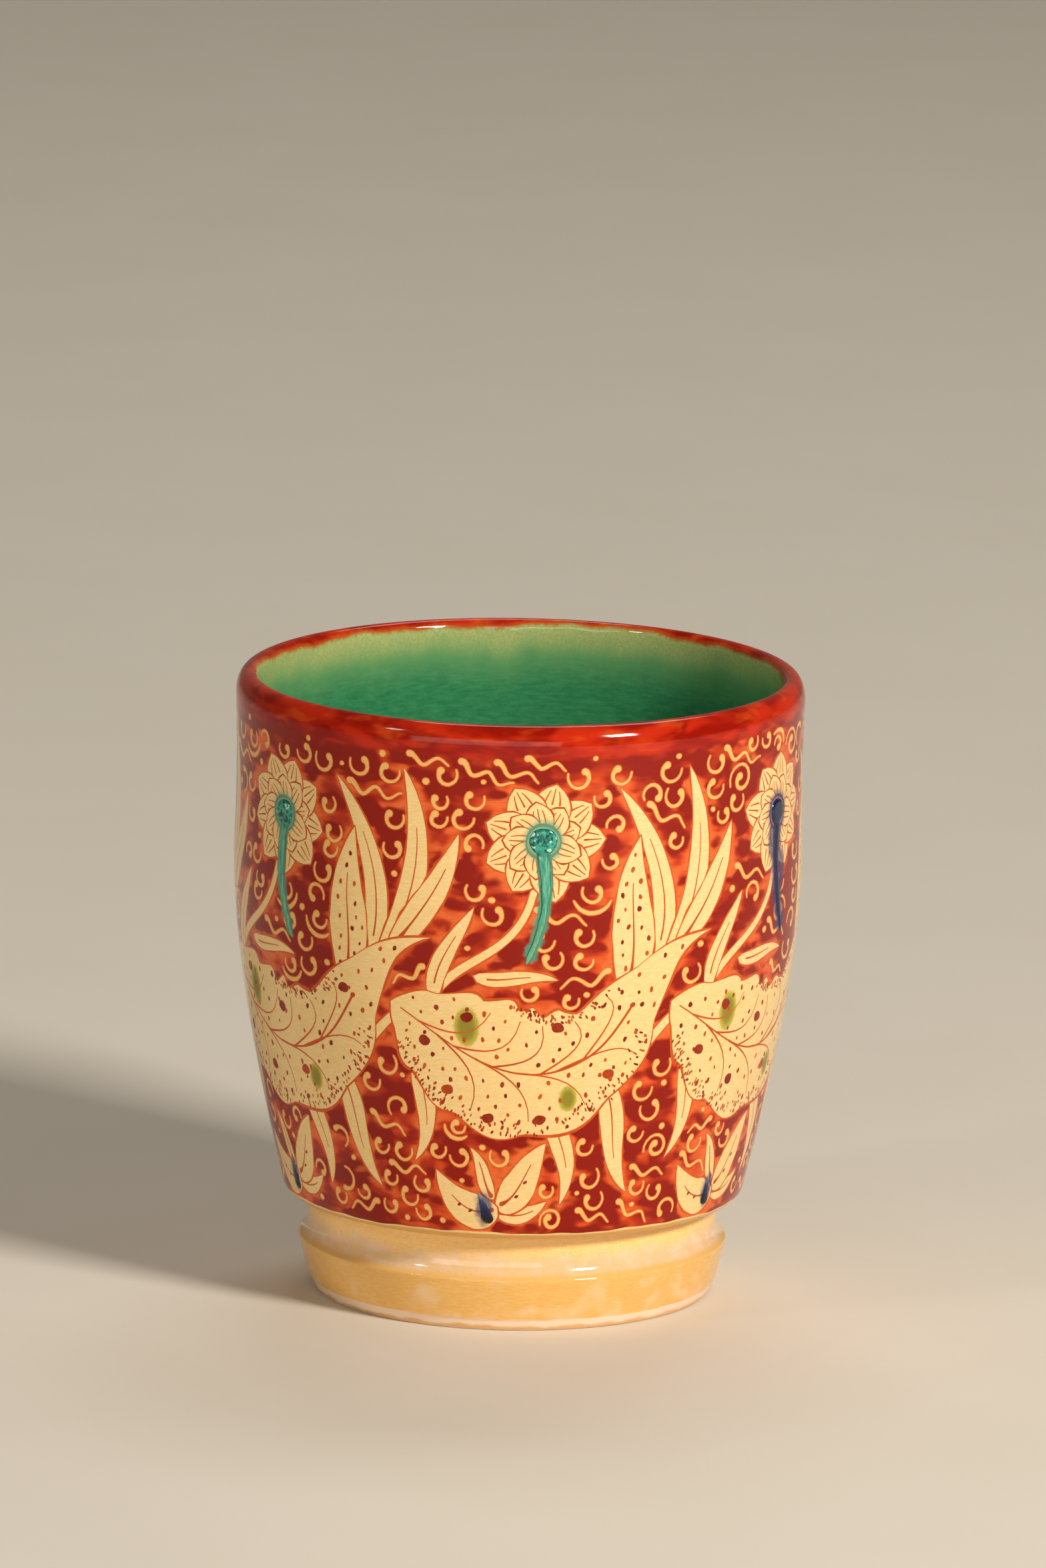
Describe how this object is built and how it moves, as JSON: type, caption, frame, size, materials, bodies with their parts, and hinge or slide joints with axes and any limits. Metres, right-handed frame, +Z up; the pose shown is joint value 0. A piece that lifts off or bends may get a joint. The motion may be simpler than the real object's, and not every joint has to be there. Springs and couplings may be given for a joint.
{
  "type": "clay mug",
  "caption": "Handleless thrown clay mug with a turned foot, green glazed inside and a painted, clear glazed outside, for holding a drink.",
  "frame": {"origin": "centre of the foot ring's standing plane", "axes": "+Z up along the mug's axis towards its mouth; -Y faces the camera of the picture; the body is round, so +X only fixes where the glaze runs lie"},
  "size_m": [0.0862, 0.0866, 0.0953],
  "materials": {
    "bare_clay": "matte",
    "cream_slip": "matte",
    "painted_red_glaze": "gloss",
    "lip_red_glaze": "gloss",
    "green_liner_glaze": "gloss",
    "milky_cove_glaze": "gloss",
    "honey_foot_glaze": "gloss",
    "green_run_glaze": "gloss",
    "blue_run_glaze": "gloss"
  },
  "bodies": {
    "root": {"clay_body": "bare_clay", "foot_ring": "bare_clay", "slip_coat": "cream_slip", "painted_wall_glaze": "painted_red_glaze", "lip_glaze": "lip_red_glaze", "liner_glaze": "green_liner_glaze", "cove_glaze": "milky_cove_glaze", "foot_glaze": "honey_foot_glaze", "green_glaze_runs": "green_run_glaze", "blue_glaze_runs": "blue_run_glaze", "blue_glaze_drops": "blue_run_glaze"}
  },
  "joints": []
}
